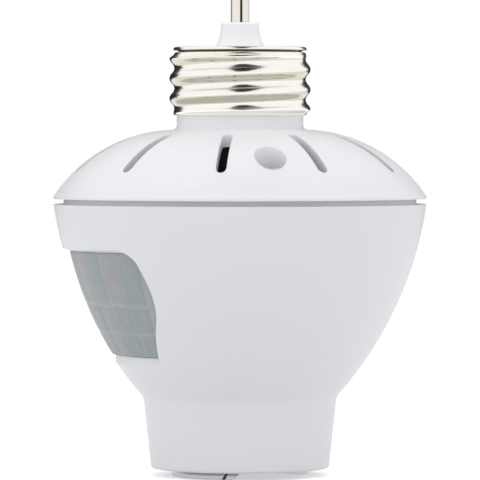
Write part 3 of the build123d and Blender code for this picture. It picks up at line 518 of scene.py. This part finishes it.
def socket_shell():
    """Rolled screw shell for the lamp, open at its seam."""
    span = 360 - SEAM
    coarse = np.linspace(0, span - FOLD_FINE, SOCKET_COLUMNS, endpoint=False)
    fine = np.linspace(span - FOLD_FINE, span, FOLD_COLUMNS)
    since = np.concatenate([coarse, fine])[:, None]
    left = span - since
    angle = np.radians(SEAM_ANGLE + SEAM / 2 + since)
    rise = LIP_RISE * np.clip(1 - since / LIP_RISE_ANGLE, 0, 1) ** LIP_RISE_CURVE
    rise = rise + SEAM_CUT_H * np.clip(1 - left / SEAM_CUT_ANGLE, 0, 1)
    top = SOCKET_TOP_Z - SOCKET_SHEET
    z = rise + np.linspace(0, 1, SOCKET_ROWS)[None, :] * (top - rise)
    fade = smooth_step((z - LIP_PLAIN) / SOCKET_IN_RUN) * smooth_step((top - z) / SOCKET_OUT_RUN)
    wave = 1 - thread_height(thread_turn(angle, z, 0))
    inner = SOCKET_R + SOCKET_DEPTH * wave * fade
    outer = inner + SOCKET_SHEET
    ones = np.ones_like(angle)
    radii = np.hstack([inner, ones * SOCKET_RIM_R, ones * SOCKET_RIM_R, outer[:, ::-1]])
    heights = np.hstack([z, ones * top, ones * SOCKET_TOP_Z, z[:, :0:-1], z[:, :1]])
    heights[:, SOCKET_ROWS + 2] = SOCKET_TOP_Z
    points = turned_points(radii, heights, ones * angle + 0 * radii)
    shell = grid_mesh("lamp_shell", points, closed_columns=True)
    # Painted shade along the lip's fold.
    fold = smooth_step(2 - 2 * np.abs(left - FOLD_ANGLE + FOLD_LEAN * heights) / FOLD_W)
    # Painted shadow on the lip under the neck.
    neck_shadow = NECK_SHADOW * smooth_step((heights - NECK_SHADOW_LOW) / NECK_SHADOW_H) * smooth_step((NECK_SHADOW_ANGLE - left) / NECK_SHADOW_FADE)
    mark(shell.data, "painted_shade", np.maximum(fold, neck_shadow) * (heights < DARK_TOP_Z))
    return shell


# Lens

def window_half_width(z):
    """Half the window's width at a height, as seen along X."""
    (low_w, low_z), (mid_w, mid_z), (side_w, side_z) = WINDOW_LOW, WINDOW_MID, WINDOW_SIDE
    line = low_w + (mid_w - low_w) * (z - low_z) / (mid_z - low_z)
    wide, high = side_w - mid_w, side_z - mid_z
    radius = (wide**2 + high**2) / (2 * wide)
    arc = side_w - radius + np.sqrt(radius**2 - np.clip(side_z - z, 0, high) ** 2)
    half = np.where(z < mid_z, line, arc)
    up = np.clip(z - (WINDOW_TOP_Z - WINDOW_ROUND), 0, WINDOW_ROUND)
    return half - WINDOW_ROUND + np.sqrt(WINDOW_ROUND**2 - up**2)


def bell_r(z):
    """Radius of the bell at a height."""
    return BELL_ARC_IN + np.sqrt(BELL_ARC_R**2 - (z - BELL_ARC_Z) ** 2)


def lens_r(z):
    """Radius of the lens's face at a height, without its facets."""
    up = (z - LENS_LOW_Z) / (LENS_HIGH_Z - LENS_LOW_Z)
    return bell_r(z) - LENS_BACK_LOW - (LENS_BACK_TOP - LENS_BACK_LOW) * up


def lens_facets(angle, z, radius):
    """Relief of the facets, their painted light, the painted shade lines of their rings, and their pale
    edges.
    """
    column = np.round(angle / LENS_COLUMN)
    across = (angle - column * LENS_COLUMN) * radius
    half = LENS_COLUMN * radius / 2
    last = LENS_COLUMNS // 2
    inside = np.abs(column) <= last
    low, high = LENS_ROWS
    row = (z > low).astype(int) + (z > high)
    below = row < len(LENS_ROWS)
    up = z - np.array(LENS_CENTRE_Z)[row]
    from_centre = np.hypot(across - RING_SHIFT * column, up)
    free = from_centre > RING_FREE
    rings = from_centre / RING_PITCH
    saw = rings - np.floor(rings)
    clear = np.where(np.abs(column) > WEAK_COLUMNS, 1.0, RING_WEAK)
    ring = np.where(free, np.minimum(saw / RING_PEAK, (1 - saw) / (1 - RING_PEAK)), 0)
    to_column = half - np.abs(across)
    to_row = np.minimum(np.abs(z - low), np.abs(z - high))
    groove = np.maximum(1 - np.minimum(to_column, to_row) / GROOVE_W, 0)
    relief = LENS_BULGE * (1 - (across / half) ** 2) - RING_DEPTH * clear * ring - GROOVE_DEPTH * groove
    even = np.round(column + below * (np.abs(column) < last)) % 2 == 0
    # Painted light: alternate facets lighter, as their tilt would light them.
    tint = np.where(inside, even * (1 - FACET_LIGHT_DROP * below), FACET_LIGHT_BORDER)
    side = smooth_step(1 - (across + half) / EDGE_W)
    border = np.maximum(side, smooth_step(1 - ROW_EDGE * to_row / EDGE_W))
    border = np.where(inside, border, BORDER_PALE)
    # Painted shade: a dark line in each ring, as the grooves' shade.
    line = np.where(inside & free, smooth_step((saw - LINE_FROM) / LINE_RUN), 0)
    return np.where(inside, relief, 0), tint, clear * line * (1 - border), border


def lens_skirts(around, height):
    """Loops by radius, angle and height: back from the lens's edge, and round the flange."""
    wall = bell_r(height)
    across = np.roll(around, -1) - np.roll(around, 1)
    up = np.roll(height, -1) - np.roll(height, 1)
    run = np.stack([across * wall, up])
    out = np.stack([run[1], -run[0]]) / np.maximum(np.hypot(*run), 1e-9)
    wide = (around + FLANGE_W * out[0] / wall, height + FLANGE_W * out[1])
    wide_wall = bell_r(wide[1])
    return [
        (wall - LENS_DEPTH, around, height),
        (wide_wall - LENS_DEPTH, *wide),
        (wide_wall - LENS_DEPTH - FLANGE_T, *wide),
        (wall - LENS_DEPTH - FLANGE_T, around, height),
    ]


def lens_piece():
    """Lens with its facets in front, and the flange that holds it behind the bell's wall."""
    rows, columns = LENS_GRID
    z = np.linspace(LENS_LOW_Z, LENS_HIGH_Z, rows)[:, None]
    face_r = lens_r(z)
    reach = np.arcsin((window_half_width(z) - LENS_SIDE_GAP) / (face_r + LENS_BACK_LOW))
    angle = np.linspace(-1, 1, columns)[None, :] * reach
    heights = z + 0 * angle
    radii = face_r + 0 * angle
    relief, tint, line, border = lens_facets(angle, heights, radii)
    middle = np.zeros(radii.shape)
    middle[LENS_FRAME:-LENS_FRAME, LENS_FRAME:-LENS_FRAME] = 1
    edge = grid_edge(rows, columns)
    skirts = lens_skirts(angle[edge], heights[edge])
    sheets = [(radii + middle * relief, angle, heights), (radii - LENS_T, angle, heights)]
    points = [turned_points(r, h, math.pi + a).reshape(-1, 3) for r, a, h in sheets + skirts]
    index = np.arange(rows * columns).reshape(rows, columns)
    quads = grid_quads(index)
    faces = np.vstack([quads[:, ::-1], quads + index.size]).tolist()
    front = index[edge]
    loops = [front]
    for number in range(len(skirts)):
        loops.append(2 * index.size + number * front.size + np.arange(front.size))
    loops.append(front + index.size)
    for first, second in zip(loops, loops[1:]):
        band = np.stack([first, np.roll(first, -1), np.roll(second, -1), second], axis=-1)
        faces += band.tolist()
    lens = mesh_object("window_lens", np.vstack(points), faces)
    mark(lens.data, "painted_facet_light", tint)
    mark(lens.data, "painted_ring_shade", line)
    mark(lens.data, "facet_edge", border)
    return lens


# Studio

def seen_rays(tree):
    """One for rays from the camera and for those that metal or clear parts send on."""
    path = node(tree, "ShaderNodeLightPath")
    first = node(tree, "ShaderNodeMath", operation="MAXIMUM")
    tree.links.new(path.outputs["Is Camera Ray"], first.inputs[0])
    tree.links.new(path.outputs["Is Glossy Ray"], first.inputs[1])
    second = node(tree, "ShaderNodeMath", operation="MAXIMUM")
    tree.links.new(first.outputs["Value"], second.inputs[0])
    tree.links.new(path.outputs["Is Transmission Ray"], second.inputs[1])
    return second.outputs["Value"]


def make_world():
    """Plain light all round, with white for rays that see it."""
    world = bpy.data.worlds.new("studio")
    bpy.context.scene.world = world
    world.use_nodes = True
    tree = world.node_tree
    back = tree.nodes["Background"]
    back.inputs["Color"].default_value = (1, 1, 1, 1)
    level = node(tree, "ShaderNodeMapRange")
    level.inputs["To Min"].default_value = AMBIENT
    level.inputs["To Max"].default_value = 1.0
    tree.links.new(seen_rays(tree), level.inputs["Value"])
    tree.links.new(level.outputs["Result"], back.inputs["Strength"])


def make_floor():
    """Pale floor that shows white where no shadow falls."""
    bpy.ops.mesh.primitive_plane_add(size=FLOOR_SIZE)
    floor = bpy.context.object
    floor.name = "floor"
    mat = new_material("pale_floor")
    tree = mat.node_tree
    out = tree.nodes["Material Output"]
    tree.nodes.remove(tree.nodes["Principled BSDF"])
    matt = node(tree, "ShaderNodeBsdfDiffuse", Color=(FLOOR_GREY, FLOOR_GREY, FLOOR_GREY, 1))
    glow = node(tree, "ShaderNodeEmission", Color=(1, 1, 1, 1))
    lift = node(tree, "ShaderNodeMath", operation="MULTIPLY")
    lift.inputs[1].default_value = FLOOR_GLOW
    tree.links.new(seen_rays(tree), lift.inputs[0])
    tree.links.new(lift.outputs["Value"], glow.inputs["Strength"])
    both = node(tree, "ShaderNodeAddShader")
    tree.links.new(matt.outputs["BSDF"], both.inputs[0])
    tree.links.new(glow.outputs["Emission"], both.inputs[1])
    tree.links.new(both.outputs["Shader"], out.inputs["Surface"])
    wear(floor, mat)


def make_lamp(name, place, side, power):
    """Soft square lamp that looks at the object and doesn't show in the metal."""
    data = bpy.data.lights.new(name, "AREA")
    data.size = side * MM
    data.energy = power
    lamp = new_object(name, data)
    lamp.visible_glossy = False
    lamp.location = Vector(place) * MM
    aim = Vector(LAMP_AIM) * MM - lamp.location
    lamp.rotation_euler = aim.to_track_quat("-Z", "Y").to_euler()


def make_flag(name, outline):
    """Dark flag that only bright metal sees."""
    flag = mesh_object(name, np.array(outline), [list(range(len(outline)))])
    mat = new_material(name)
    shader = mat.node_tree.nodes["Principled BSDF"]
    shader.inputs["Base Color"].default_value = (*FLAG_COLOUR, 1)
    shader.inputs["Roughness"].default_value = 1.0
    shader.inputs["Specular IOR Level"].default_value = 0.0
    wear(flag, mat)
    flag.visible_camera = False
    flag.visible_diffuse = False
    flag.visible_shadow = False
    flag.visible_transmission = False


def make_flags():
    """Flags that give the bright metal its dark edges and the dark marks in its middle."""
    left, right, back, low, top = FLAG_BACK
    make_flag("dark_back", [
        (left, back, low),
        (right, back, low),
        (right, back, top),
        (left, back, top),
    ])
    left, right, front, rear, height = FLAG_TOP
    make_flag("dark_top", [
        (left, front, height),
        (right, front, height),
        (right, rear, height),
        (left, rear, height),
    ])


def make_camera():
    """Camera in front of the object and almost level, as in the photograph."""
    data = bpy.data.cameras.new("camera")
    data.lens = CAMERA_LENS
    data.sensor_width = SENSOR_W
    data.clip_end = CAMERA_REACH
    camera = new_object("camera", data)
    camera.location = Vector((0, -CAMERA_DISTANCE, CAMERA_HEIGHT)) * MM
    camera.rotation_euler = (math.radians(90 - CAMERA_PITCH), 0, 0)
    bpy.context.scene.camera = camera


def make_studio():
    """World, floor, lamps, flags and camera."""
    bpy.context.scene.view_settings.view_transform = "Standard"
    make_world()
    make_floor()
    for name, (place, side, power) in LAMPS.items():
        make_lamp(name, place, side, power)
    make_flags()
    make_camera()


for old in list(bpy.data.objects):
    bpy.data.objects.remove(old)
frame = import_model()
slots = {node_name: obj.data.materials[0].name for node_name, obj in frame["nodes"].items()}
materials = make_materials()
for node_name, obj in frame["nodes"].items():
    wear(obj, materials[slots[node_name]])

base = base_shell()
wear(base, materials["nickel"])
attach(base, "body")
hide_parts("base_screw_shell")

shell = socket_shell()
wear(shell, materials["lamp_shell"])
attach(shell, "body")
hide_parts("socket_shell")

window = lens_piece()
wear(window, materials["lens_milky"])
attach(window, "body")
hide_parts("lens")

make_studio()
